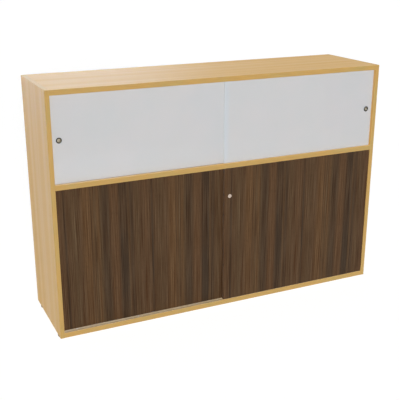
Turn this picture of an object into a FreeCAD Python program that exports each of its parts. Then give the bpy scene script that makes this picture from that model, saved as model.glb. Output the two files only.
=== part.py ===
"""Room divider cabinet: two sliding frosted panes above two sliding wooden doors.

Millimetres, +Z up. X runs along the width, the front faces -Y, and the origin lies on the
floor at the middle of the footprint. The right pane and the right door run in front of the
left ones.
"""
import FreeCAD, Part
import os

# Carcass
WIDTH = 1600.0
DEPTH = 420.0
CARCASS_HEIGHT = 1080.0  # underside of the side panels to the top face
SIDE_BOARD = 19.0
BOARD = 22.0  # top, bottom, middle shelf and partitions
UPPER_OPENING = 367.0  # clear height of the glazed compartment
BACK_BOARD = 16.0
BACK_RECESS = 3.0  # rear faces of the backs, in from the rear edges
EDGE_BAND = 2.0
EDGE_RADIUS = 1.2
ROUND_LIMIT = 0.8  # most of a wall that a rounding may take

# Joinery
BORE_PLAY = 0.1  # around dowels, bolts, pins and nails in their bores
CAM_RADIUS = 7.5
CAM_HEIGHT = 15.0
CAM_BACKSET = 34.0  # centre of the cam housing from the end of its board
CAM_BOLT_RADIUS = 3.5
CAM_BOLT_TIP = 2.0  # bolt past the centre of the housing
CAM_THREAD_RADIUS = 2.5
CAM_THREAD_LENGTH = 11.0
CAM_FRONT = 90.0  # front cam row behind the front edge
CAM_REAR = 66.0  # rear cam row before the rear edge
DOWEL_RADIUS = 4.0
DOWEL_IN_FACE = 12.0
DOWEL_IN_EDGE = 18.0
DOWEL_PITCH = 32.0  # dowel beside each cam
UPPER_DOWEL_INSET = 60.0  # dowels of the upper partition from its front and rear edge
LOWER_DOWEL_INSET = 90.0
BACK_DOWELS = 4  # along each long edge of a back
UPPER_BACK_INSET = 120.0  # outer dowels of the upper back from the sides
LOWER_BACK_INSET = 180.0
RECESS_WIDTH = 1.4  # cross recess of cams and screws
RECESS_DEPTH = 1.2
RECESS_REACH = 0.55  # arms of the recess, as a share of the head's radius

# Inner shelves
INNER_SHELF = 19.0
INNER_SHELF_SETBACK = 12.0  # behind the front edge of the lower partition
INNER_SHELF_PLAY = 1.0  # at both ends and at the back
PIN_RADIUS = 2.5
PIN_DEPTH = 8.0
PIN_REACH = 8.0  # tab under the shelf
PIN_TAB_WIDTH = 8.0
PIN_SEAT = 3.0  # pin axis below the shelf, and tab below the pin axis
PIN_INSET = 60.0  # pin rows from the front and rear edge of the shelf
PIN_PITCH = 32.0
PIN_HOLES = 5

# Sliding leaves
LEAF_OVERLAP = 24.0
LEAF_END_GAP = 1.5  # between a closed leaf and its side panel
LEAF_CLEARANCE = 4.0  # between the rear leaf and what stands behind it
BUFFER_PLAY = 0.3
BUFFER_INSET = 70.0  # buffers from the bottom and top of their opening
DOOR_BUFFER_RADIUS = 4.0
PANE_BUFFER_RADIUS = 2.2

# Glass panes and their channels
PANE = 5.0
PANE_RECESS = 12.0  # front face of the front pane behind the front edges
PANE_GAP = 3.0  # between the two panes
PANE_PLAY = 0.5  # each side of a pane in its groove
PANE_SEAT = 0.3  # under a pane
PANE_BOTTOM_GROOVE = 3.5
PANE_TOP_GROOVE = 9.0
PANE_TOP_GRIP = 5.0  # pane inside the top groove
CHANNEL_WALL = 1.5
CHANNEL_FLOOR = 1.5
CHANNEL_END_PLAY = 0.3

# Finger pulls
PULL_INSET = 32.0  # centre of a pull from the side panel
PULL_DROP = 3.0  # centre of a pull below the middle of the opening
PULL_CUP_RADIUS = 7.1  # inside of the cup
PULL_CUP_WALL = 0.8
PULL_CUP_FLOOR = 0.8
PULL_CUP_ROUND = 2.0  # inner corner of the cup
PULL_SLEEVE_WALL = 1.5
PULL_FLANGE = 1.0
PULL_FLANGE_LAP = 2.5  # flange and rear ring past the sleeve
PULL_ROUND = 0.4  # rims of the front flange
PULL_PLAY = 0.1  # around the cup and around the sleeve

# Wooden doors
DOOR_BOARD = 16.0
DOOR_RECESS = 2.0  # front face of the front door behind the front edges
DOOR_GAP = 5.0  # between the two doors
DOOR_BOTTOM_GAP = 1.5
DOOR_TOP_GAP = 3.5
DOOR_BAND = 1.0

# Rollers, guides and rails of the doors
ROLLER_INSET = 90.0  # rollers and guides from the ends of a door
ROLLER_RADIUS = 9.0
ROLLER_WIDTH = 5.0
ROLLER_SEAT = 0.3  # under a roller
ROLLER_EDGE = 0.6  # chamfer of the tread
ROLLER_SIDE_PLAY = 0.5  # each side of a roller in its carrier and in its groove
ROLLER_ROOM = 1.5  # around a roller in its carrier
AXLE_RADIUS = 1.5
AXLE_PLAY = 0.05
CARRIER_WALL = 2.0
CARRIER_END = 10.0
CARRIER_ROOF = 6.0
GUIDE_PLUG_RADIUS = 4.0
GUIDE_PLUG = 14.0
GUIDE_PIN_RADIUS = 2.5
GUIDE_GRIP = 4.5  # guide pin inside its groove
GUIDE_PLAY = 0.5
GUIDE_GROOVE = 8.5
RAIL_GROOVE = 3.0
RAIL_WALL = 3.0
RAIL_FLOOR = 2.0
SCREW_HEAD_RADIUS = 3.5
SCREW_RADIUS = 1.75
SCREW_LENGTH = 12.0
SCREW_INSET = 60.0  # outer rail screws from the ends of the rail
SCREW_COUNT = 6

# Lock of the right door and its strike on the left door
LOCK_INSET = 26.0  # lock axis from the inner edge of the door
LOCK_DROP = 132.0  # lock axis below the middle shelf
LOCK_FLANGE_RADIUS = 9.0
LOCK_FLANGE = 1.6
LOCK_ROUND = 0.8  # rim of the flange
LOCK_BARREL_RADIUS = 8.0
LOCK_PLUG_RADIUS = 6.0
LOCK_PLUG_SINK = 0.3  # face of the plug behind the face of the flange
LOCK_PLUG_PLAY = 0.05
LOCK_NECK_RADIUS = 4.0
LOCK_END_WALL = 3.0
LOCK_TAIL = 5.0  # side of the square tail
LOCK_NUT = 3.5
LOCK_NUT_ACROSS = 21.0
LOCK_NUT_ROOM = 0.5
LOCK_CAM = 2.0
LOCK_CAM_GAP = 1.2  # cam behind the door
LOCK_CAM_LENGTH = 30.0
LOCK_CAM_WIDTH = 10.0
LOCK_HUB_RADIUS = 7.0
KEYWAY_WIDTH = 1.2
KEYWAY_HEIGHT = 6.5
KEYWAY_DEPTH = 8.0
STRIKE_THICKNESS = 3.2
STRIKE_WIDTH = 8.0
STRIKE_HEIGHT = 16.0
STRIKE_PLAY = 1.5  # between the strike and the raised cam
STRIKE_RISE = 13.0  # lower end of the strike above the lock axis
STRIKE_SCREW_SPACING = 9.0
STRIKE_SCREW_HEAD_RADIUS = 2.6
STRIKE_SCREW_RADIUS = 1.2

# Floor glides
GLIDE_HEIGHT = 8.0
GLIDE_LENGTH = 30.0
GLIDE_WIDTH = 18.0
GLIDE_CHAMFER = 1.0
GLIDE_FRONT = 44.0  # front glides behind the front edge; the rear ones lie under the rear cam row
GLIDE_GRIP = 3.0  # nail inside the glide
NAIL_RADIUS = 1.5
NAIL_LENGTH = 16.0  # nail inside the board
NAIL_SPACING = 12.0

V = FreeCAD.Vector
LEFT = -1
RIGHT = 1
UP = 1
DOWN = -1
TOUCH = 1e-6

# Planes of the carcass
x_side = WIDTH / 2
x_in = x_side - SIDE_BOARD
y_front = -DEPTH / 2
y_rear = DEPTH / 2
y_back = y_rear - BACK_RECESS - BACK_BOARD
z_base = GLIDE_HEIGHT
z_top = z_base + CARCASS_HEIGHT
z_floor = z_base + BOARD
z_ceiling = z_top - BOARD
z_shelf_top = z_ceiling - UPPER_OPENING
z_shelf = z_shelf_top - BOARD

# Leaves, each a pair of values for the front (right) and the rear (left) one
leaf_width = x_in - LEAF_END_GAP + LEAF_OVERLAP / 2
pane_front = (y_front + PANE_RECESS, y_front + PANE_RECESS + PANE + PANE_GAP)
pane_centre = [y + PANE / 2 for y in pane_front]
door_front = (y_front + DOOR_RECESS, y_front + DOOR_RECESS + DOOR_BOARD + DOOR_GAP)
door_centre = [y + DOOR_BOARD / 2 for y in door_front]
y_upper_partition = pane_front[1] + PANE + PULL_FLANGE + LEAF_CLEARANCE
y_lower_partition = door_front[1] + DOOR_BOARD + LEAF_CLEARANCE
z_pane = z_shelf_top - PANE_BOTTOM_GROOVE + PANE_SEAT
z_door = z_floor + DOOR_BOTTOM_GAP
z_door_top = z_shelf - DOOR_TOP_GAP
z_axle = z_floor - RAIL_GROOVE + ROLLER_SEAT + ROLLER_RADIUS
y_screw = sum(door_centre) / 2

# Finger pulls
x_pull = x_in - PULL_INSET
z_pull = (z_shelf_top + z_ceiling) / 2 - PULL_DROP
pull_bore = PULL_CUP_RADIUS + PULL_CUP_WALL + PULL_PLAY
pull_sleeve_radius = pull_bore + PULL_SLEEVE_WALL
pull_flange_radius = pull_sleeve_radius + PULL_FLANGE_LAP

# Inner shelves
y_inner = y_lower_partition + INNER_SHELF_SETBACK
y_inner_end = y_back - INNER_SHELF_PLAY
z_inner = (z_floor + z_shelf - INNER_SHELF) / 2

# Lock axis and the faces behind it
x_lock = x_in - LEAF_END_GAP - leaf_width + LOCK_INSET
z_lock = z_shelf - LOCK_DROP
y_lock_face = door_front[0] - LOCK_FLANGE
y_door_rear = door_front[0] + DOOR_BOARD
y_cam = y_door_rear + LOCK_CAM_GAP


def box(low, high):
    """A block between two corners."""
    return Part.makeBox(*(V(*high) - V(*low)), V(*low))


def rod(radius, start, end):
    """A round bar from one point to another."""
    path = V(*end) - V(*start)
    return Part.makeCylinder(radius, path.Length, V(*start), path)


def cut(shape, tools):
    """One solid less every tool that comes near it."""
    near = [tool for tool in tools if tool.BoundBox.intersect(shape.BoundBox)]
    return shape.cut(near).Solids[0] if near else shape


def join(*shapes):
    """Shapes that touch, as one clean solid."""
    return shapes[0].fuse(list(shapes[1:])).removeSplitter().Solids[0]


def spread(low, high, count):
    """Evenly spaced places from low to high."""
    return [low + (high - low) * i / (count - 1) for i in range(count)]


def placed(shape, point, outward):
    """A shape made along +Z from the origin, turned to face outward at a point."""
    shape.Placement = FreeCAD.Placement(V(*point), FreeCAD.Rotation(V(0, 0, 1), V(*outward)))
    return shape


def rounding(radius, wall):
    """A rounding that its wall can take."""
    return min(radius, ROUND_LIMIT * wall)


def cross_recess(head_radius):
    """Cross recess of a head whose face lies at the origin, towards +Z."""
    half = RECESS_WIDTH / 2
    radius = RECESS_REACH * head_radius
    bars = [
        box((-radius, -half, -RECESS_DEPTH), (radius, half, RECESS_DEPTH)),
        box((-half, -radius, -RECESS_DEPTH), (half, radius, RECESS_DEPTH)),
    ]
    return join(*bars)


def edge_band(low, high, outward, along):
    """A banding strip between two corners, its two long outer edges rounded."""
    strip = box(low, high)
    outward, along = V(*outward), V(*along)
    reaches = [vertex.Point.dot(outward) for vertex in strip.Vertexes]
    edges = [
        edge
        for edge in strip.Edges
        if abs(edge.CenterOfMass.dot(outward) - max(reaches)) < TOUCH
        and edge.tangentAt(edge.FirstParameter).cross(along).Length < TOUCH
    ]
    return strip.makeFillet(rounding(EDGE_RADIUS, max(reaches) - min(reaches)), edges)


def leaf_span(side):
    """The two ends of a closed leaf along X."""
    outer = side * (x_in - LEAF_END_GAP)
    return sorted((outer, outer - side * leaf_width))


def row(side):
    """Index of a side's leaf in the pairs of front and rear values."""
    return 0 if side == RIGHT else 1


# Joinery: each piece is made with no play, and its bore with play


def dowel(point, axis, play=0.0):
    """A dowel across a joint plane, its long end towards axis."""
    point, axis = V(*point), V(*axis)
    start = point - axis * (DOWEL_IN_FACE + play)
    return rod(DOWEL_RADIUS + play, start, point + axis * (DOWEL_IN_EDGE + play))


def cam_bolt(side, y, z, play=0.0):
    """A bolt screwed into a side panel and reaching into a board's cam housing."""
    plane = side * x_in
    thread_end = side * (x_in + CAM_THREAD_LENGTH + play)
    tip = side * (x_in - CAM_BACKSET - CAM_BOLT_TIP - play)
    thread = rod(CAM_THREAD_RADIUS + play, (plane, y, z), (thread_end, y, z))
    return join(thread, rod(CAM_BOLT_RADIUS + play, (plane, y, z), (tip, y, z)))


def cam_bore(side, y, z_under, play=BORE_PLAY):
    """The bore of a cam housing in a board's underside."""
    x = side * (x_in - CAM_BACKSET)
    return rod(CAM_RADIUS + play, (x, y, z_under), (x, y, z_under + CAM_HEIGHT + play))


def cam_housing(side, y, z_under):
    """A round cam housing, open for its bolt and with a cross recess below."""
    x = side * (x_in - CAM_BACKSET)
    recess = placed(cross_recess(CAM_RADIUS), (x, y, z_under), (0, 0, -1))
    bolt = cam_bolt(side, y, z_under + BOARD / 2, BORE_PLAY)
    return cut(cam_bore(side, y, z_under, 0.0), [bolt, recess])


def dowel_places():
    """Each dowel's point on its joint plane and the direction of its long end."""
    places = []
    for z_under in (z_base, z_shelf, z_ceiling):
        for y in (cam_rows[0] + DOWEL_PITCH, cam_rows[1] - DOWEL_PITCH):
            for side in (LEFT, RIGHT):
                places.append(((side * x_in, y, z_under + BOARD / 2), (-side, 0, 0)))
    standing = [
        (z_shelf_top, z_ceiling, y_upper_partition, UPPER_DOWEL_INSET, UPPER_BACK_INSET),
        (z_floor, z_shelf, y_lower_partition, LOWER_DOWEL_INSET, LOWER_BACK_INSET),
    ]
    for z_low, z_high, y_start, inset, back_inset in standing:
        spots = [(0, y_start + inset), (0, y_back - inset)]
        reach = x_in - back_inset
        spots += [(x, y_back + BACK_BOARD / 2) for x in spread(-reach, reach, BACK_DOWELS)]
        for x, y in spots:
            places.append(((x, y, z_low), (0, 0, 1)))
            places.append(((x, y, z_high), (0, 0, -1)))
    return places


def shelf_pin(x_face, direction, y, play=0.0):
    """The shank of a shelf pin in a hole of the face at x_face."""
    z = z_inner - PIN_SEAT
    end = x_face - direction * (PIN_DEPTH + play)
    return rod(PIN_RADIUS + play, (x_face, y, z), (end, y, z))


def pin_places():
    """Each shelf pin's face, the direction into the bay and its row."""
    faces = [(-x_in, RIGHT), (-BOARD / 2, LEFT), (BOARD / 2, RIGHT), (x_in, LEFT)]
    rows = (y_inner + PIN_INSET, y_inner_end - PIN_INSET)
    return [(x, direction, y) for x, direction in faces for y in rows]


def shelf_pins():
    """Pins with a flat tab that the inner shelves lie on."""
    pins = []
    for x, direction, y in pin_places():
        ends = sorted((x, x + direction * PIN_REACH))
        half = PIN_TAB_WIDTH / 2
        tab = box((ends[0], y - half, z_inner - 2 * PIN_SEAT), (ends[1], y + half, z_inner))
        pins.append(join(shelf_pin(x, direction, y), tab))
    return pins


def pin_holes():
    """Rows of holes above and below the pins, for other shelf heights."""
    holes = []
    for place in pin_places():
        hole = shelf_pin(*place, BORE_PLAY)
        for step in range(PIN_HOLES):
            lifted = hole.copy()
            lifted.translate(V(0, 0, (step - PIN_HOLES // 2) * PIN_PITCH))
            holes.append(lifted)
    return holes


def screw(point, outward, head_radius, radius, length, play=0.0):
    """A countersunk screw whose head lies flush at a point and faces outward."""
    taper = head_radius - radius
    head = Part.makeCone(radius + play, head_radius + play, taper, V(0, 0, -taper))
    body = join(head, rod(radius + play, (0, 0, -taper), (0, 0, -length - play)))
    if not play:
        body = cut(body, [cross_recess(head_radius)])
    return placed(body, point, outward)


def rail_screws(play=0.0):
    """Screws through the webs of the two door rails."""
    reach = x_in - CHANNEL_END_PLAY - SCREW_INSET
    faces = [(z_floor, UP), (z_shelf, DOWN)]
    return [
        screw((x, y_screw, z), (0, 0, way), SCREW_HEAD_RADIUS, SCREW_RADIUS, SCREW_LENGTH, play)
        for z, way in faces
        for x in spread(-reach, reach, SCREW_COUNT)
    ]


cam_rows = (y_front + CAM_FRONT, y_rear - CAM_REAR)
cam_places = [
    (side, y, z_under)
    for z_under in (z_base, z_shelf, z_ceiling)
    for y in cam_rows
    for side in (LEFT, RIGHT)
]
glide_places = [
    (x, y)
    for x in (-x_side + SIDE_BOARD / 2, 0, x_side - SIDE_BOARD / 2)
    for y in (y_front + GLIDE_FRONT, cam_rows[1])
]
nail_places = [
    (x, y + shift)
    for x, y in glide_places
    for shift in (-NAIL_SPACING / 2, NAIL_SPACING / 2)
]


def nail(x, y, play=0.0):
    """A nail between a glide and its board."""
    low = z_base - GLIDE_GRIP - play
    return rod(NAIL_RADIUS + play, (x, y, low), (x, y, z_base + NAIL_LENGTH + play))


bores = [dowel(*place, BORE_PLAY) for place in dowel_places()]
bores += [cam_bolt(side, y, z + BOARD / 2, BORE_PLAY) for side, y, z in cam_places]
bores += [cam_bore(*place) for place in cam_places]
bores += [nail(*place, BORE_PLAY) for place in nail_places]
bores += pin_holes()
bores += rail_screws(BORE_PLAY)


# Channels and rails let into the boards


def channel_box(centres, groove_width, depth, wall, z_face, way, end_play):
    """The outside of a channel that opens at a board's face towards way."""
    reach = groove_width / 2 + wall
    z = sorted((z_face, z_face - way * depth))
    length = x_in - end_play
    return box((-length, centres[0] - reach, z[0]), (length, centres[1] + reach, z[1]))


def channel(centres, groove_width, groove_depth, wall, floor, z_face, way):
    """An extruded channel with two grooves, and the pocket that it lies in."""
    depth = groove_depth + floor
    body = channel_box(centres, groove_width, depth, wall, z_face, way, CHANNEL_END_PLAY)
    pocket = channel_box(centres, groove_width, depth, wall, z_face, way, 0.0)
    z = sorted((z_face, z_face - way * groove_depth))
    half = groove_width / 2
    grooves = [box((-x_in, y - half, z[0]), (x_in, y + half, z[1])) for y in centres]
    return cut(body, grooves), pocket


pane_groove = PANE + 2 * PANE_PLAY
roller_groove = ROLLER_WIDTH + 2 * ROLLER_SIDE_PLAY
guide_groove = 2 * (GUIDE_PIN_RADIUS + GUIDE_PLAY)
glass_bottom, glass_bottom_pocket = channel(
    pane_centre, pane_groove, PANE_BOTTOM_GROOVE, CHANNEL_WALL, CHANNEL_FLOOR, z_shelf_top, UP
)
glass_top, glass_top_pocket = channel(
    pane_centre, pane_groove, PANE_TOP_GROOVE, CHANNEL_WALL, CHANNEL_FLOOR, z_ceiling, DOWN
)
door_rail, door_rail_pocket = channel(
    door_centre, roller_groove, RAIL_GROOVE, RAIL_WALL, RAIL_FLOOR, z_floor, UP
)
door_guide, door_guide_pocket = channel(
    door_centre, guide_groove, GUIDE_GROOVE, RAIL_WALL, RAIL_FLOOR, z_shelf, DOWN
)
pockets = [glass_bottom_pocket, glass_top_pocket, door_rail_pocket, door_guide_pocket]


# Boards of the carcass


def side_panel(side):
    """A side panel inside its edge bands."""
    x = sorted((side * x_in, side * x_side))
    low = (x[0], y_front + EDGE_BAND, z_base)
    return cut(box(low, (x[1], y_rear - EDGE_BAND, z_top - EDGE_BAND)), bores)


def side_bands(side):
    """Front, rear and top band of a side panel."""
    x = sorted((side * x_in, side * x_side))
    front, rear = y_front + EDGE_BAND, y_rear - EDGE_BAND
    return [
        edge_band((x[0], y_front, z_base), (x[1], front, z_top), (0, -1, 0), (0, 0, 1)),
        edge_band((x[0], rear, z_base), (x[1], y_rear, z_top), (0, 1, 0), (0, 0, 1)),
        edge_band((x[0], front, z_top - EDGE_BAND), (x[1], rear, z_top), (0, 0, 1), (0, 1, 0)),
    ]


def level_board(z):
    """A board between the side panels, inside its edge bands."""
    low = (-x_in, y_front + EDGE_BAND, z)
    return cut(box(low, (x_in, y_rear - EDGE_BAND, z + BOARD)), bores + pockets)


def level_bands(z):
    """Front and rear band of a board between the side panels."""
    return [
        edge_band((-x_in, y_front, z), (x_in, y_front + EDGE_BAND, z + BOARD), (0, -1, 0), (1, 0, 0)),
        edge_band((-x_in, y_rear - EDGE_BAND, z), (x_in, y_rear, z + BOARD), (0, 1, 0), (1, 0, 0)),
    ]


def back_panel(z_low, z_high):
    """A back between the side panels."""
    return cut(box((-x_in, y_back, z_low), (x_in, y_back + BACK_BOARD, z_high)), bores)


def partition(y_start, z_low, z_high):
    """A centre partition behind its front band, ending at the back."""
    low = (-BOARD / 2, y_start + EDGE_BAND, z_low)
    return cut(box(low, (BOARD / 2, y_back, z_high)), bores)


def partition_band(y_start, z_low, z_high):
    """Front band of a centre partition."""
    low = (-BOARD / 2, y_start, z_low)
    return edge_band(low, (BOARD / 2, y_start + EDGE_BAND, z_high), (0, -1, 0), (0, 0, 1))


def inner_span(side):
    """The two ends of an inner shelf along X."""
    return sorted((side * (x_in - INNER_SHELF_PLAY), side * (BOARD / 2 + INNER_SHELF_PLAY)))


def inner_shelf(side):
    """A loose shelf that lies on its pins."""
    x = inner_span(side)
    return box((x[0], y_inner + EDGE_BAND, z_inner), (x[1], y_inner_end, z_inner + INNER_SHELF))


def inner_shelf_band(side):
    """Front band of a loose shelf."""
    x = inner_span(side)
    low = (x[0], y_inner, z_inner)
    return edge_band(low, (x[1], y_inner + EDGE_BAND, z_inner + INNER_SHELF), (0, -1, 0), (1, 0, 0))


# Glides and buffers


def floor_glide(x, y):
    """An oblong glide with a chamfered foot."""
    radius = GLIDE_WIDTH / 2
    half = GLIDE_LENGTH / 2 - radius
    ends = [rod(radius, (x, y + shift, 0), (x, y + shift, z_base)) for shift in (-half, half)]
    foot = join(box((x - radius, y - half, 0), (x + radius, y + half, z_base)), *ends)
    rim = [edge for edge in foot.Edges if edge.BoundBox.ZMax < TOUCH]
    return cut(foot.makeChamfer(GLIDE_CHAMFER, rim), [nail(*place, BORE_PLAY) for place in nail_places])


def buffers():
    """Round buffers on the side panels, where the leaves come to a stop."""
    stops = [
        (DOOR_BUFFER_RADIUS, door_centre, z_floor, z_shelf),
        (PANE_BUFFER_RADIUS, pane_centre, z_shelf_top, z_ceiling),
    ]
    reach = x_in - LEAF_END_GAP + BUFFER_PLAY
    return [
        rod(radius, (side * x_in, y, z), (side * reach, y, z))
        for radius, centres, z_low, z_high in stops
        for y in centres
        for z in (z_low + BUFFER_INSET, z_high - BUFFER_INSET)
        for side in (LEFT, RIGHT)
    ]


# Glass panes and finger pulls


def glass_pane(side):
    """A pane between its two channels, with the hole of its pull."""
    x, y = leaf_span(side), pane_front[row(side)]
    pane = box((x[0], y, z_pane), (x[1], y + PANE, z_ceiling + PANE_TOP_GRIP))
    return cut(pane, [pull_rod(side, pull_sleeve_radius + PULL_PLAY, y, y + PANE)])


def pull_rod(side, radius, y_start, y_end):
    """A round bar on the axis of a pull."""
    x = side * x_pull
    return rod(radius, (x, y_start, z_pull), (x, y_end, z_pull))


def pull_sleeve(side):
    """The front flange of a finger pull and its sleeve through the pane."""
    y = pane_front[row(side)]
    y_face, y_end = y - PULL_FLANGE, y + PANE + PULL_FLANGE
    flange = pull_rod(side, pull_flange_radius, y_face, y)
    whole = join(flange, pull_rod(side, pull_sleeve_radius, y, y_end))
    whole = cut(whole, [pull_rod(side, pull_bore, y_face, y_end)])
    rims = [
        edge
        for edge in whole.Edges
        if edge.BoundBox.YMax < y_face + TOUCH and len(edge.Vertexes) == 1
    ]
    return whole.makeFillet(rounding(PULL_ROUND, PULL_FLANGE), rims)


def pull_cup(side):
    """The cup of a finger pull, pressed into its sleeve."""
    y = pane_front[row(side)]
    y_end = y + PANE + PULL_FLANGE
    y_floor = y_end - PULL_CUP_FLOOR
    cup = pull_rod(side, PULL_CUP_RADIUS + PULL_CUP_WALL, y, y_end)
    cup = cut(cup, [pull_rod(side, PULL_CUP_RADIUS, y, y_floor)])
    corner = [
        edge
        for edge in cup.Edges
        if edge.BoundBox.YLength < TOUCH and abs(edge.BoundBox.YMin - y_floor) < TOUCH
    ]
    return cup.makeFillet(rounding(PULL_CUP_ROUND, y_floor - y), corner)


def pull_ring(side):
    """The rear ring that holds a finger pull in its pane."""
    y = pane_front[row(side)] + PANE
    ring = pull_rod(side, pull_flange_radius, y, y + PULL_FLANGE)
    return cut(ring, [pull_rod(side, pull_sleeve_radius + PULL_PLAY, y, y + PULL_FLANGE)])


# Wooden doors


def carrier_box(x, y):
    """The outside of a roller carrier let into the bottom edge of a door."""
    length = ROLLER_RADIUS + ROLLER_ROOM + CARRIER_END
    half = ROLLER_WIDTH / 2 + ROLLER_SIDE_PLAY + CARRIER_WALL
    roof = z_axle + ROLLER_RADIUS + ROLLER_ROOM + CARRIER_ROOF
    return box((x - length, y - half, z_door), (x + length, y + half, roof))


def roller_places(side):
    """The outer and the inner roller of a door along X."""
    x = leaf_span(side)
    ends = (x[0] + ROLLER_INSET, x[1] - ROLLER_INSET)
    return ends if side == LEFT else ends[::-1]


def axle(x, y, play=0.0):
    """The axle across a roller carrier."""
    half = ROLLER_WIDTH / 2 + ROLLER_SIDE_PLAY + CARRIER_WALL
    return rod(AXLE_RADIUS + play, (x, y - half, z_axle), (x, y + half, z_axle))


def roller_carrier(x, y):
    """A carrier with a slot for its roller and a bore for its axle."""
    room = ROLLER_RADIUS + ROLLER_ROOM
    half = ROLLER_WIDTH / 2 + ROLLER_SIDE_PLAY
    slot = box((x - room, y - half, z_door), (x + room, y + half, z_axle + room))
    return cut(carrier_box(x, y), [slot, axle(x, y)])


def roller(x, y):
    """A roller on its axle, standing in the groove of the rail."""
    half = ROLLER_WIDTH / 2
    wheel = rod(ROLLER_RADIUS, (x, y - half, z_axle), (x, y + half, z_axle))
    rims = [edge for edge in wheel.Edges if edge.BoundBox.YLength < TOUCH]
    return cut(wheel.makeChamfer(ROLLER_EDGE, rims), [axle(x, y, AXLE_PLAY)])


def top_guide(x, y, play=0.0):
    """A guide plugged into the top edge of a door, its pin in the groove above."""
    plug = rod(GUIDE_PLUG_RADIUS + play, (x, y, z_door_top - GUIDE_PLUG - play), (x, y, z_door_top))
    pin = rod(GUIDE_PIN_RADIUS, (x, y, z_door_top), (x, y, z_shelf + GUIDE_GRIP))
    return join(plug, pin)


def door_bores(side):
    """Everything that is let into a door."""
    y = door_centre[row(side)]
    tools = [carrier_box(x, y) for x in roller_places(side)]
    tools += [top_guide(x, y, BORE_PLAY) for x in roller_places(side)]
    return tools + (lock_bores() if side == RIGHT else strike_screws(BORE_PLAY))


def door_panel(side):
    """A door inside its edge bands."""
    x, y = leaf_span(side), door_front[row(side)]
    low = (x[0] + DOOR_BAND, y, z_door + DOOR_BAND)
    high = (x[1] - DOOR_BAND, y + DOOR_BOARD, z_door_top - DOOR_BAND)
    return cut(box(low, high), door_bores(side))


def door_bands(side):
    """The four thin bands around a door."""
    x, y = leaf_span(side), door_front[row(side)]
    y_end = y + DOOR_BOARD
    inner = (x[0] + DOOR_BAND, x[1] - DOOR_BAND)
    low, high = z_door + DOOR_BAND, z_door_top - DOOR_BAND
    bands = [
        edge_band((x[0], y, z_door), (inner[0], y_end, z_door_top), (-1, 0, 0), (0, 0, 1)),
        edge_band((inner[1], y, z_door), (x[1], y_end, z_door_top), (1, 0, 0), (0, 0, 1)),
        edge_band((inner[0], y, z_door), (inner[1], y_end, low), (0, 0, -1), (1, 0, 0)),
        edge_band((inner[0], y, high), (inner[1], y_end, z_door_top), (0, 0, 1), (1, 0, 0)),
    ]
    return [cut(band, door_bores(side)) for band in bands]


# Lock and strike


def lock_rod(radius, y_start, y_end):
    """A round bar on the lock axis."""
    return rod(radius, (x_lock, y_start, z_lock), (x_lock, y_end, z_lock))


def hexagon(across, y_start, y_end):
    """A hexagonal bar on the lock axis."""
    corner = V(across / 3**0.5, 0, 0)
    turn = FreeCAD.Rotation(V(0, 1, 0), 60)
    centre = V(x_lock, y_start, z_lock)
    points = [centre + corner]
    for _ in range(6):
        corner = turn.multVec(corner)
        points.append(centre + corner)
    return Part.Face(Part.makePolygon(points)).extrude(V(0, y_end - y_start, 0))


def tail(y_start, y_end, play=0.0):
    """The square tail of the lock plug."""
    half = LOCK_TAIL / 2 + play
    return box((x_lock - half, y_start, z_lock - half), (x_lock + half, y_end, z_lock + half))


def lock_bores():
    """The barrel's hole in the right door and the recess of its nut."""
    room = LOCK_NUT_ACROSS / 3**0.5 + LOCK_NUT_ROOM
    return [
        lock_rod(LOCK_BARREL_RADIUS + BORE_PLAY, door_front[0], y_door_rear),
        lock_rod(room, y_door_rear - LOCK_NUT, y_door_rear),
    ]


def lock_housing():
    """The flange and the barrel of the lock, bored for the plug."""
    flange = lock_rod(LOCK_FLANGE_RADIUS, y_lock_face, door_front[0])
    body = join(flange, lock_rod(LOCK_BARREL_RADIUS, door_front[0], y_door_rear))
    rim = [
        edge
        for edge in body.Edges
        if edge.BoundBox.YMax < y_lock_face + TOUCH and len(edge.Vertexes) == 1
    ]
    body = body.makeFillet(rounding(LOCK_ROUND, LOCK_FLANGE), rim)
    seat = lock_rod(LOCK_PLUG_RADIUS, y_lock_face, y_door_rear - LOCK_END_WALL)
    return cut(body, [seat, lock_rod(LOCK_NECK_RADIUS, y_lock_face, y_door_rear)])


def lock_nut():
    """The nut that clamps the barrel, sunk in the back of the door."""
    nut = hexagon(LOCK_NUT_ACROSS, y_door_rear - LOCK_NUT, y_door_rear)
    return cut(nut, [lock_rod(LOCK_BARREL_RADIUS + BORE_PLAY, y_door_rear - LOCK_NUT, y_door_rear)])


def lock_plug():
    """The key plug with its keyway, neck and square tail."""
    face = y_lock_face + LOCK_PLUG_SINK
    y_neck = y_door_rear - LOCK_END_WALL - LOCK_PLUG_PLAY
    body = lock_rod(LOCK_PLUG_RADIUS - LOCK_PLUG_PLAY, face, y_neck)
    neck = lock_rod(LOCK_NECK_RADIUS - LOCK_PLUG_PLAY, y_neck, y_cam)
    whole = join(body, neck, tail(y_cam, y_cam + LOCK_CAM))
    half = (KEYWAY_WIDTH / 2, KEYWAY_HEIGHT / 2)
    keyway = box(
        (x_lock - half[0], face, z_lock - half[1]),
        (x_lock + half[0], face + KEYWAY_DEPTH, z_lock + half[1]),
    )
    return cut(whole, [keyway])


def lock_cam():
    """The cam on the tail of the plug, lying towards +X while the lock is open."""
    y_end = y_cam + LOCK_CAM
    half = LOCK_CAM_WIDTH / 2
    arm_end = x_lock + LOCK_CAM_LENGTH - half
    arm = box((x_lock, y_cam, z_lock - half), (arm_end, y_end, z_lock + half))
    nose = rod(half, (arm_end, y_cam, z_lock), (arm_end, y_end, z_lock))
    return cut(join(lock_rod(LOCK_HUB_RADIUS, y_cam, y_end), arm, nose), [tail(y_cam, y_end)])


def strike_centre():
    """The middle of the strike on the front face of the left door."""
    x = x_lock - LOCK_CAM_WIDTH / 2 - STRIKE_PLAY - STRIKE_WIDTH / 2
    return x, z_lock + STRIKE_RISE + STRIKE_HEIGHT / 2


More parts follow.
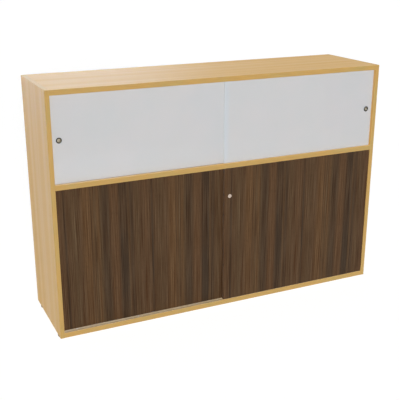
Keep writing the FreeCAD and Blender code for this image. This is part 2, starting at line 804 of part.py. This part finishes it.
def strike_screws(play=0.0):
    """Two screws that hold the strike on the left door."""
    x, z = strike_centre()
    half = STRIKE_SCREW_SPACING / 2
    face = door_front[1] - STRIKE_THICKNESS
    sizes = (STRIKE_SCREW_HEAD_RADIUS, STRIKE_SCREW_RADIUS, SCREW_LENGTH)
    return [screw((x, face, z + shift), (0, -1, 0), *sizes, play) for shift in (-half, half)]


def lock_strike():
    """The block that the raised cam stands against."""
    x, z = strike_centre()
    half = (STRIKE_WIDTH / 2, STRIKE_HEIGHT / 2)
    low = (x - half[0], door_front[1] - STRIKE_THICKNESS, z - half[1])
    return cut(box(low, (x + half[0], door_front[1], z + half[1])), strike_screws(BORE_PLAY))


nodes = {
    "top_panel": level_board(z_ceiling),
    "bottom_panel": level_board(z_base),
    "middle_shelf": level_board(z_shelf),
    "top_edge_bands": level_bands(z_ceiling),
    "bottom_edge_bands": level_bands(z_base),
    "middle_shelf_edge_bands": level_bands(z_shelf),
    "upper_back_panel": back_panel(z_shelf_top, z_ceiling),
    "lower_back_panel": back_panel(z_floor, z_shelf),
    "upper_partition": partition(y_upper_partition, z_shelf_top, z_ceiling),
    "lower_partition": partition(y_lower_partition, z_floor, z_shelf),
    "partition_edge_bands": [
        partition_band(y_upper_partition, z_shelf_top, z_ceiling),
        partition_band(y_lower_partition, z_floor, z_shelf),
    ],
    "inner_shelf_edge_bands": [inner_shelf_band(side) for side in (LEFT, RIGHT)],
    "shelf_pins": shelf_pins(),
    "cam_housings": [cam_housing(*place) for place in cam_places],
    "cam_bolts": [cam_bolt(side, y, z + BOARD / 2) for side, y, z in cam_places],
    "dowels": [dowel(*place) for place in dowel_places()],
    "glass_bottom_channel": glass_bottom,
    "glass_top_channel": glass_top,
    "door_bottom_rail": cut(door_rail, rail_screws(BORE_PLAY)),
    "door_top_rail": cut(door_guide, rail_screws(BORE_PLAY)),
    "rail_screws": rail_screws(),
    "leaf_buffers": buffers(),
    "floor_glides": [floor_glide(*place) for place in glide_places],
    "glide_nails": [nail(*place) for place in nail_places],
    "lock_housing": lock_housing(),
    "lock_nut": lock_nut(),
    "lock_plug": lock_plug(),
    "lock_cam": lock_cam(),
    "lock_strike": lock_strike(),
    "strike_screws": strike_screws(),
}
for name, side in (("left", LEFT), ("right", RIGHT)):
    y_centre = door_centre[row(side)]
    outer, inner = roller_places(side)
    nodes[f"{name}_side_panel"] = side_panel(side)
    nodes[f"{name}_side_edge_bands"] = side_bands(side)
    nodes[f"{name}_inner_shelf"] = inner_shelf(side)
    nodes[f"{name}_glass_pane"] = glass_pane(side)
    nodes[f"{name}_pull_sleeve"] = pull_sleeve(side)
    nodes[f"{name}_pull_cup"] = pull_cup(side)
    nodes[f"{name}_pull_ring"] = pull_ring(side)
    nodes[f"{name}_door_panel"] = door_panel(side)
    nodes[f"{name}_door_edge_bands"] = door_bands(side)
    nodes[f"{name}_door_roller_carriers"] = [roller_carrier(x, y_centre) for x in (outer, inner)]
    nodes[f"{name}_door_axles"] = [axle(x, y_centre) for x in (outer, inner)]
    nodes[f"{name}_door_outer_roller"] = roller(outer, y_centre)
    nodes[f"{name}_door_inner_roller"] = roller(inner, y_centre)
    nodes[f"{name}_door_top_guides"] = [top_guide(x, y_centre) for x in (outer, inner)]

os.makedirs("parts", exist_ok=True)
for name, shape in nodes.items():
    if isinstance(shape, list):
        shape = Part.makeCompound(shape)
    shape.exportStep(f"parts/{name}.step")
    print(name, len(shape.Solids), shape.isValid())
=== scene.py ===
"""Looks of the room divider cabinet: decors, glass, metals and plastics, a plain studio and the camera."""
from math import radians

import bpy
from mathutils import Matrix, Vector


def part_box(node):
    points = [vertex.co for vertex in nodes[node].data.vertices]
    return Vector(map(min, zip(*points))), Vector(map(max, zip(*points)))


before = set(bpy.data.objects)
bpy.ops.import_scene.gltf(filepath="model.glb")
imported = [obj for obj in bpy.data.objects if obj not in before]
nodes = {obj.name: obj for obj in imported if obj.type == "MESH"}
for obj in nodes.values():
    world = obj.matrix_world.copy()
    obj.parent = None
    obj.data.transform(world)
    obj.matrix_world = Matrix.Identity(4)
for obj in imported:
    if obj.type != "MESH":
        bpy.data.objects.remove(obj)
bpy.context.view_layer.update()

SIDES = ("left", "right")
AXES = {"X": (1, 0, 0), "Y": (0, 1, 0), "Z": (0, 0, 1)}
MM = 0.001

# Camera, from the cabinet's corners in the photograph (metres, degrees, pixels of the 400 by 400 image)
CAMERA_PLACE = (-1.4576, -3.0438, 1.6023)
CAMERA_AZIMUTH = 25.01
CAMERA_ELEVATION = 18.638
FOCAL_LENGTH = 741.34
IMAGE_SIDE = 400
SENSOR_WIDTH = 36.0

# Studio: the sky's light, the floor, and the glow that makes it white where it is seen
SKY_LIGHT = 0.14
FLOOR_SIZE = 60.0
FLOOR_ALBEDO = 0.45
FLOOR_GLOW = 0.60
WHITE = (1.0, 1.0, 1.0, 1.0)

# Lamps: where their light heads, how far it comes down and how wide it spreads, in degrees, and its strength
LAMPS = {
    "key_lamp": dict(heading=12.0, descent=10.0, spread=10.0, strength=1.95),
    "fill_lamp": dict(heading=75.0, descent=58.0, spread=60.0, strength=2.45, shadow=False),
    "back_lamp": dict(heading=212.0, descent=-8.0, spread=20.0, strength=1.9, shadow=False),
    "sheen_lamp": dict(heading=176.0, descent=15.0, spread=54.0, strength=1.55, shadow=False, sheen=True),
    "side_sheen_lamp": dict(
        heading=166.0, descent=-7.0, spread=38.0, strength=0.15, shadow=False, sheen=True,
    ),
}
SHEEN_COLOUR = (0.62, 0.80, 1.0)

# Noise: the values that nearly all and most of it lie between, and the kind with finer marks in its features
NOISE_REACH = (0.2, 0.8)
NOISE_SPAN = (0.3, 0.7)
BROKEN = {"detail": 3.0, "roughness": 0.6}

# Sockets of a Mix node by number, because several of them share a name
MIX_SHARE = 0
MIX_VECTORS = (4, 5)
MIX_COLOURS = (6, 7)
MIX_VECTOR_OUT = 1
MIX_COLOUR_OUT = 2

# A face is square to an axis if its normal has more than this share of it
SQUARE_ON = 0.7


def tone(red, green, blue):
    """The linear colour of a display colour given from 0 to 255."""
    shares = [value / 255 for value in (red, green, blue)]
    return tuple(s / 12.92 if s <= 0.04045 else ((s + 0.055) / 1.055) ** 2.4 for s in shares) + (1.0,)


def dimmed(colour, share):
    """A colour at a share of its brightness."""
    return tuple(share * value for value in colour[:3]) + (1.0,)


class Surface:
    """A material in the making: its node tree and the shader that it ends in."""

    def __init__(self, name, **constants):
        self.material = bpy.data.materials.new(name)
        self.material.use_nodes = True
        self.tree = self.material.node_tree
        self.shader = self.tree.nodes["Principled BSDF"]
        self.place = self.tree.nodes.new("ShaderNodeTexCoord")
        for socket, value in constants.items():
            self.shader.inputs[socket.replace("_", " ")].default_value = value

    def node(self, kind, inputs=None, **settings):
        """A new node with its settings, and each input linked or set to a value."""
        made = self.tree.nodes.new(kind)
        for key, value in settings.items():
            setattr(made, key, value)
        for key, value in (inputs or {}).items():
            if isinstance(value, bpy.types.NodeSocket):
                self.tree.links.new(value, made.inputs[key])
            else:
                made.inputs[key].default_value = value
        return made

    def feed(self, socket, value):
        """Links a value to an input of the shader."""
        self.tree.links.new(value, self.shader.inputs[socket])

    def vary(self, socket, pattern, low, high):
        """Lets an input of the shader follow a pattern from low to high."""
        self.feed(socket, self.remap(pattern, *NOISE_SPAN, low, high))

    def point(self, scale=(1, 1, 1), shift=(0, 0, 0), source=None):
        """Part coordinates in metres, or those of a source, scaled and then shifted."""
        inputs = {"Vector": source or self.place.outputs["Object"], "Scale": scale, "Location": shift}
        return self.node("ShaderNodeMapping", inputs).outputs[0]

    def noise(self, point, detail=2.0, roughness=0.5):
        """Smooth noise from about 0.2 to 0.8, one feature per unit of the point."""
        inputs = {"Vector": point, "Scale": 1.0, "Detail": detail, "Roughness": roughness}
        return self.node("ShaderNodeTexNoise", inputs).outputs["Fac"]

    def even_noise(self, count, **kind):
        """Noise with so many features per metre in every direction."""
        return self.noise(self.point((count, count, count)), **kind)

    def grain_noise(self, grain, along, across, shift=(0, 0, 0), source=None, **kind):
        """Noise with so many features per metre along an axis and across it."""
        scale = tuple(along if axis == grain else across for axis in AXES)
        return self.noise(self.point(scale, shift, source), **kind)

    def remap(self, value, low, high, to_low=0.0, to_high=1.0):
        """Carries low..high to to_low..to_high and clamps there."""
        inputs = {"Value": value, "From Min": low, "From Max": high, "To Min": to_low, "To Max": to_high}
        return self.node("ShaderNodeMapRange", inputs).outputs["Result"]

    def calc(self, operation, first, second=0.0):
        """One step of arithmetic."""
        return self.node("ShaderNodeMath", {0: first, 1: second}, operation=operation).outputs[0]

    def mix(self, share, first, second, blend="MIX"):
        """The second colour laid over the first by its share."""
        inputs = {MIX_SHARE: share, **dict(zip(MIX_COLOURS, (first, second)))}
        made = self.node("ShaderNodeMix", inputs, data_type="RGBA", blend_type=blend)
        return made.outputs[MIX_COLOUR_OUT]

    def choose(self, share, first, second):
        """The first point where the share is 0, and the second where it is 1."""
        inputs = {MIX_SHARE: share, **dict(zip(MIX_VECTORS, (first, second)))}
        return self.node("ShaderNodeMix", inputs, data_type="VECTOR").outputs[MIX_VECTOR_OUT]

    def tint(self, colour, over, pattern, start, full, share):
        """A second colour laid over a colour, from none of it at start of a pattern to its share at full."""
        return self.mix(self.remap(pattern, start, full, 0.0, share), colour, over)

    def ramp(self, share, stops, interpolation="EASE"):
        """A colour that follows stops of (place, colour)."""
        made = self.node("ShaderNodeValToRGB", {0: share})
        made.color_ramp.interpolation = interpolation
        steps = made.color_ramp.elements
        while len(steps) < len(stops):
            steps.new(0.5)
        for step, (place, colour) in zip(steps, stops):
            step.position = place
            step.color = colour
        return made.outputs["Color"]

    def facing(self, axis):
        """1 on faces square to an axis and 0 on the others."""
        inputs = {0: self.place.outputs["Normal"], 1: AXES[axis]}
        along = self.node("ShaderNodeVectorMath", inputs, operation="DOT_PRODUCT").outputs["Value"]
        return self.calc("GREATER_THAN", self.calc("ABSOLUTE", along), SQUARE_ON)

    def relief(self, height, depth, strength=1.0):
        """Fine relief of a depth in metres."""
        inputs = {"Height": height, "Distance": depth, "Strength": strength}
        self.feed("Normal", self.node("ShaderNodeBump", inputs).outputs["Normal"])


# Raw board core, by the noise of its flakes
CHIPBOARD_TONES = [(0.3, tone(146, 116, 78)), (0.5, tone(186, 156, 112)), (0.7, tone(208, 182, 140))]


def chipboard(surface):
    """Colour of the raw board core that shows in bores and on unbanded edges."""
    flakes = surface.even_noise(420, **BROKEN)
    return surface.ramp(flakes, CHIPBOARD_TONES)


# Carcass decor, light to dark: on boards whose outer face takes the lamps' cool sheen, and on those away from
# it, whose paler tones are a painted sheen in place of that light
DECOR_IN_SHEEN = (tone(203, 168, 114), tone(199, 158, 87), tone(194, 148, 60))
DECOR_WITH_PAINTED_SHEEN = (tone(207, 178, 132), tone(203, 170, 114), tone(199, 162, 96))
DECOR_FLECK = tone(172, 133, 74)
DECOR_GLOSS = 0.15

# How much of the decor's tone comes from its broad bands; its fine lines give the rest
BAND_SHARE = 0.65


def carcass_board(name, grain, thickness, tones):
    """Golden straight-grained wood decor, satin, on a board's two faces, and its core elsewhere."""
    surface = Surface(name, Specular_IOR_Level=DECOR_GLOSS)
    bands = surface.grain_noise(grain, along=0.5, across=22)
    lines = surface.grain_noise(grain, along=5, across=210, **BROKEN)
    flecks = surface.grain_noise(grain, along=70, across=900, detail=1.0)
    from_bands = surface.calc("MULTIPLY", bands, BAND_SHARE)
    from_lines = surface.calc("MULTIPLY", lines, 1 - BAND_SHARE)
    light, middle, dark = tones
    stops = [(0.34, dark), (0.5, middle), (0.66, light)]
    colour = surface.ramp(surface.calc("ADD", from_bands, from_lines), stops)
    colour = surface.tint(colour, DECOR_FLECK, flecks, start=0.6, full=0.75, share=0.25)
    surface.feed("Base Color", surface.mix(surface.facing(thickness), chipboard(surface), colour))
    surface.vary("Roughness", lines, low=0.40, high=0.48)
    surface.relief(lines, 0.05 * MM)
    return surface.material


# Edge bands: the tones that they drift through, and the tint of their lines
EDGE_TONES = [(0.32, tone(198, 159, 95)), (0.5, tone(194, 159, 97)), (0.66, tone(189, 160, 100))]
EDGE_LINE = tone(172, 130, 64)


def edging(name, grain, cross_grain=None):
    """Golden edge band whose tone drifts along its length; cross_grain is the run of its upward faces."""
    surface = Surface(name, Specular_IOR_Level=DECOR_GLOSS)
    place = surface.place.outputs["Object"]
    if cross_grain:
        swap = {grain: cross_grain, cross_grain: grain}
        split = surface.node("ShaderNodeSeparateXYZ", {0: place}).outputs
        swapped = {axis: split[swap.get(axis, axis)] for axis in AXES}
        turned = surface.node("ShaderNodeCombineXYZ", swapped).outputs[0]
        place = surface.choose(surface.facing("Z"), place, turned)
    drift = surface.grain_noise(grain, along=9, across=20, source=place)
    lines = surface.grain_noise(grain, along=14, across=420, source=place, **BROKEN)
    colour = surface.ramp(drift, EDGE_TONES)
    colour = surface.tint(colour, EDGE_LINE, lines, start=0.45, full=0.75, share=0.3)
    surface.feed("Base Color", colour)
    surface.vary("Roughness", lines, low=0.42, high=0.52)
    surface.relief(lines, 0.04 * MM)
    return surface.material


# Walnut decor: its tones, the tints of its finer marks, and the factors of red, green and blue in its figure
UMBER, SHADE, BROWN = tone(59, 46, 34), tone(70, 54, 39), tone(82, 61, 42)
OLIVE, RUSSET, AMBER = tone(84, 65, 45), tone(88, 64, 43), tone(94, 69, 45)
LIGHT_STREAK, DARK_STREAK = tone(112, 77, 47), tone(52, 38, 28)
THREAD, PORE = tone(54, 39, 28), tone(40, 29, 22)
FIGURE_DIM, FIGURE_BRIGHT = (0.40, 0.22, 0.02, 1.0), (1.60, 1.78, 1.98, 1.0)
FIGURE_SPAN = (0.27, 0.73)

# Its printed repeat across the grain, how far its lines waver, and its bands as places and tones, in metres
WALNUT_REPEAT = 0.39
WALNUT_WAVER = 0.001
WALNUT_BANDS = [
    (0.000, RUSSET), (0.022, BROWN), (0.028, BROWN), (0.031, UMBER), (0.036, UMBER), (0.041, BROWN),
    (0.075, OLIVE), (0.100, BROWN), (0.118, AMBER), (0.145, AMBER), (0.148, SHADE), (0.152, AMBER),
    (0.163, OLIVE), (0.177, AMBER), (0.186, OLIVE), (0.199, SHADE), (0.222, SHADE), (0.238, RUSSET),
    (0.264, RUSSET), (0.279, UMBER), (0.308, UMBER), (0.312, OLIVE), (0.317, BROWN), (0.322, SHADE),
    (0.332, SHADE), (0.342, BROWN), (0.352, OLIVE), (0.366, BROWN), (0.380, BROWN), (0.390, RUSSET),
]


def walnut(name, left_edge):
    """Dark streaked walnut decor with upright grain, counted from the door's left edge."""
    surface = Surface(name, Specular_IOR_Level=0.12)
    waver = surface.grain_noise("Z", along=2.2, across=1.2)
    split = surface.node("ShaderNodeSeparateXYZ", {0: surface.point(shift=(-left_edge, 0, 0))}).outputs
    sideways = surface.remap(waver, *NOISE_REACH, -WALNUT_WAVER, WALNUT_WAVER)
    across = surface.calc("ADD", split["X"], sideways)
    wood = surface.node("ShaderNodeCombineXYZ", {"X": across, "Z": split["Z"]}).outputs[0]
    patches = surface.grain_noise("Z", along=2.6, across=14, shift=(11, 0, 5), source=wood)
    streaks = surface.grain_noise("Z", along=4.2, across=190, source=wood, **BROKEN)
    threads = surface.grain_noise("Z", along=5, across=340, shift=(3, 0, 7), source=wood)
    pores = surface.grain_noise("Z", along=40, across=1100, source=wood, detail=1.0)
    figure = surface.grain_noise("Z", along=3.2, across=280, shift=(17, 0, 3), source=wood, roughness=0.7)

    share = surface.calc("FRACT", surface.calc("DIVIDE", across, WALNUT_REPEAT))
    stops = [(place / WALNUT_REPEAT, band) for place, band in WALNUT_BANDS]
    colour = surface.ramp(share, stops, "LINEAR")
    colour = surface.tint(colour, BROWN, patches, start=0.46, full=0.66, share=0.5)
    colour = surface.tint(colour, LIGHT_STREAK, streaks, start=0.54, full=0.75, share=0.18)
    colour = surface.tint(colour, DARK_STREAK, streaks, start=0.46, full=0.28, share=0.22)
    colour = surface.tint(colour, THREAD, threads, start=0.5, full=0.75, share=0.45)
    colour = surface.tint(colour, PORE, pores, start=0.6, full=0.72, share=0.6)
    factors = surface.mix(surface.remap(figure, *FIGURE_SPAN), FIGURE_DIM, FIGURE_BRIGHT)
    surface.feed("Base Color", surface.mix(1.0, colour, factors, "MULTIPLY"))
    surface.vary("Roughness", threads, low=0.50, high=0.62)
    surface.relief(threads, 0.08 * MM)
    return surface.material


# Frosted glass: how solid each of a pane's two faces is to sight, how much light it stops, and its tones
GLASS_VEIL = 0.65
GLASS_SHADE = 0.10
GLASS_TONES = [(0.3, tone(199, 206, 212)), (0.7, tone(202, 207, 213))]


def frosted_glass(name):
    """Satin etched glass: a grey veil to sight, with the inside faint behind it, that lets most light in."""
    surface = Surface(name, Specular_IOR_Level=0.35)
    grain = surface.even_noise(1800)
    cloud = surface.even_noise(6)
    surface.feed("Base Color", surface.ramp(cloud, GLASS_TONES))
    surface.vary("Roughness", cloud, low=0.40, high=0.50)
    path = surface.node("ShaderNodeLightPath").outputs
    carries_light = surface.calc("MAXIMUM", path["Is Shadow Ray"], path["Is Diffuse Ray"])
    surface.feed("Alpha", surface.remap(carries_light, 0.0, 1.0, GLASS_VEIL, GLASS_SHADE))
    surface.relief(grain, 0.03 * MM, strength=0.5)
    return surface.material


def metal(name, colour, roughness, brushed):
    """Bare metal with fine marks along one axis."""
    surface = Surface(name, Metallic=1.0)
    marks = surface.grain_noise(brushed, along=12, across=900)
    cloud = surface.even_noise(40)
    dull = dimmed(colour, share=0.82)
    surface.feed("Base Color", surface.tint(colour, dull, marks, start=0.35, full=0.7, share=0.5))
    surface.vary("Roughness", cloud, low=roughness - 0.05, high=roughness + 0.07)
    surface.relief(marks, 0.01 * MM, strength=0.6)
    return surface.material


def moulded(name, colour, roughness, gloss=0.2):
    """Moulded plastic, nylon or rubber with a fine skin."""
    surface = Surface(name, Specular_IOR_Level=gloss)
    skin = surface.even_noise(1500)
    cloud = surface.even_noise(60)
    shade = dimmed(colour, share=0.8)
    surface.feed("Base Color", surface.tint(colour, shade, cloud, start=0.35, full=0.7, share=0.6))
    surface.vary("Roughness", skin, low=roughness - 0.06, high=roughness + 0.06)
    surface.relief(skin, 0.04 * MM, strength=0.7)
    return surface.material


# Raw beech, by the noise of its lines
BEECH_TONES = [(0.35, tone(196, 158, 112)), (0.65, tone(224, 194, 150))]


def beech(name):
    """Raw turned beech of the dowels."""
    surface = Surface(name, Specular_IOR_Level=0.2, Roughness=0.8)
    lines = surface.even_noise(300, **BROKEN)
    surface.feed("Base Color", surface.ramp(lines, BEECH_TONES))
    surface.relief(lines, 0.05 * MM)
    return surface.material


def dress(material, *names):
    """Gives a material to nodes."""
    for name in names:
        mesh = nodes[name].data
        mesh.materials.clear()
        mesh.materials.append(material)


# Decor of the boards, by the run of the grain and the axis through the board
dress(carcass_board("decor_side", "Z", "X", DECOR_IN_SHEEN), "left_side_panel", "right_side_panel")
dress(carcass_board("decor_top", "X", "Z", DECOR_IN_SHEEN), "top_panel")
# Partitions, backs and shelves take the paler tones: a painted sheen where the sheen lamps give none
dress(carcass_board("decor_partition_painted_sheen", "Z", "X", DECOR_WITH_PAINTED_SHEEN), "upper_partition", "lower_partition")
dress(carcass_board("decor_back_painted_sheen", "Z", "Y", DECOR_WITH_PAINTED_SHEEN), "upper_back_panel", "lower_back_panel")
dress(
    carcass_board("decor_shelf_painted_sheen", "X", "Z", DECOR_WITH_PAINTED_SHEEN),
    "bottom_panel", "middle_shelf", "left_inner_shelf", "right_inner_shelf",
)
dress(
    edging("edging_upright", "Z", "Y"),
    "left_side_edge_bands", "right_side_edge_bands", "partition_edge_bands",
)
dress(
    edging("edging_lengthwise", "X"),
    "top_edge_bands", "bottom_edge_bands", "middle_shelf_edge_bands", "inner_shelf_edge_bands",
)

# Doors and panes
for side in SIDES:
    door_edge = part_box(f"{side}_door_edge_bands")[0].x
    dress(walnut(f"walnut_{side}", door_edge), f"{side}_door_panel", f"{side}_door_edge_bands")
dress(frosted_glass("frosted_glass"), "left_glass_pane", "right_glass_pane")

# Fittings
dress(
    metal("dark_bronze", (0.03, 0.024, 0.017, 1.0), roughness=0.35, brushed="Y"),
    *(f"{side}_pull_{piece}" for side in SIDES for piece in ("sleeve", "ring")),
)
dress(
    metal("pull_nickel", (0.52, 0.47, 0.36, 1.0), roughness=0.5, brushed="X"),
    "left_pull_cup", "right_pull_cup",
)
dress(
    moulded("tan_track", (0.45, 0.34, 0.20, 1.0), roughness=0.45),
    "glass_bottom_channel", "glass_top_channel", "door_bottom_rail", "door_top_rail",
)
dress(
    metal("zinc_plate", (0.62, 0.62, 0.61, 1.0), roughness=0.35, brushed="Z"),
    "shelf_pins", "cam_housings", "cam_bolts", "rail_screws", "glide_nails", "strike_screws",
    "left_door_axles", "right_door_axles", "lock_cam", "lock_strike", "lock_nut",
)
dress(
    metal("satin_nickel", (0.66, 0.54, 0.45, 1.0), roughness=0.30, brushed="X"),
    "lock_housing", "lock_plug",
)
dress(beech("raw_beech"), "dowels")
dress(moulded("black_glide", (0.02, 0.02, 0.02, 1.0), roughness=0.8, gloss=0.0), "floor_glides")
dress(
    moulded("dark_fitting", (0.03, 0.03, 0.032, 1.0), roughness=0.5),
    *(f"{side}_door_{piece}" for side in SIDES for piece in ("roller_carriers", "top_guides")),
)
dress(
    moulded("white_nylon", (0.74, 0.73, 0.69, 1.0), roughness=0.35),
    *(f"{side}_door_{which}_roller" for side in SIDES for which in ("outer", "inner")),
)
dress(moulded("clear_buffer", (0.72, 0.72, 0.69, 1.0), roughness=0.3), "leaf_buffers")


def seen_directly(tree):
    """1 for rays from the camera, off gloss and through glass, and 0 for those that carry light."""
    path = tree.nodes.new("ShaderNodeLightPath").outputs
    first = tree.nodes.new("ShaderNodeMath")
    second = tree.nodes.new("ShaderNodeMath")
    for step in (first, second):
        step.operation = "MAXIMUM"
    tree.links.new(path["Is Camera Ray"], first.inputs[0])
    tree.links.new(path["Is Glossy Ray"], first.inputs[1])
    tree.links.new(first.outputs[0], second.inputs[0])
    tree.links.new(path["Is Transmission Ray"], second.inputs[1])
    return second.outputs[0]


def make_sky():
    """Even white sky: plain light on the object, white where it is seen."""
    sky = bpy.data.worlds.new("studio_sky")
    sky.use_nodes = True
    bpy.context.scene.world = sky
    tree = sky.node_tree
    light = tree.nodes["Background"]
    light.inputs["Color"].default_value = WHITE
    light.inputs["Strength"].default_value = SKY_LIGHT
    white = tree.nodes.new("ShaderNodeBackground")
    white.inputs["Color"].default_value = WHITE
    mixed = tree.nodes.new("ShaderNodeMixShader")
    tree.links.new(seen_directly(tree), mixed.inputs[0])
    tree.links.new(light.outputs[0], mixed.inputs[1])
    tree.links.new(white.outputs[0], mixed.inputs[2])
    tree.links.new(mixed.outputs[0], tree.nodes["World Output"].inputs["Surface"])


def make_floor():
    """White floor that keeps the object's shadow."""
    bpy.ops.mesh.primitive_plane_add(size=FLOOR_SIZE)
    floor = bpy.context.object
    floor.name = "studio_floor"
    material = bpy.data.materials.new("studio_floor")
    material.use_nodes = True
    tree = material.node_tree
    shader = tree.nodes["Principled BSDF"]
    shader.inputs["Base Color"].default_value = dimmed(WHITE, FLOOR_ALBEDO)
    shader.inputs["Roughness"].default_value = 1.0
    shader.inputs["Specular IOR Level"].default_value = 0.0
    shader.inputs["Emission Color"].default_value = WHITE
    glow = tree.nodes.new("ShaderNodeMath")
    glow.operation = "MULTIPLY"
    glow.inputs[1].default_value = FLOOR_GLOW
    tree.links.new(seen_directly(tree), glow.inputs[0])
    tree.links.new(glow.outputs[0], shader.inputs["Emission Strength"])
    floor.data.materials.append(material)


def make_lamp(name, heading, descent, spread, strength, shadow=True, sheen=False):
    """Soft far lamp; its light heads clockwise from +Y and comes down by its descent, in degrees.

    Without shadow it also reaches recesses. A lamp for sheen gives only a cool gloss, and the others none."""
    data = bpy.data.lights.new(name, "SUN")
    data.angle = radians(spread)
    data.energy = strength
    data.use_shadow = shadow
    # Rays that leave a surface by chance are stopped by the part, so a lamp without shadow doesn't use them
    data.cycles.use_multiple_importance_sampling = shadow
    lamp = bpy.data.objects.new(name, data)
    lamp.rotation_euler = (radians(90 - descent), 0, radians(-heading))
    lamp.visible_diffuse = not sheen
    lamp.visible_glossy = sheen
    if sheen:
        data.color = SHEEN_COLOUR
    bpy.context.scene.collection.objects.link(lamp)


def make_camera():
    """Camera at the photograph's viewing angle."""
    data = bpy.data.cameras.new("camera")
    data.sensor_width = SENSOR_WIDTH
    data.lens = FOCAL_LENGTH / IMAGE_SIDE * SENSOR_WIDTH
    camera = bpy.data.objects.new("camera", data)
    camera.location = CAMERA_PLACE
    camera.rotation_euler = (radians(90 - CAMERA_ELEVATION), 0, radians(-CAMERA_AZIMUTH))
    bpy.context.scene.collection.objects.link(camera)
    bpy.context.scene.camera = camera


make_sky()
make_floor()
for lamp_name, setting in LAMPS.items():
    make_lamp(lamp_name, **setting)
make_camera()
bpy.context.scene.view_settings.view_transform = "Standard"
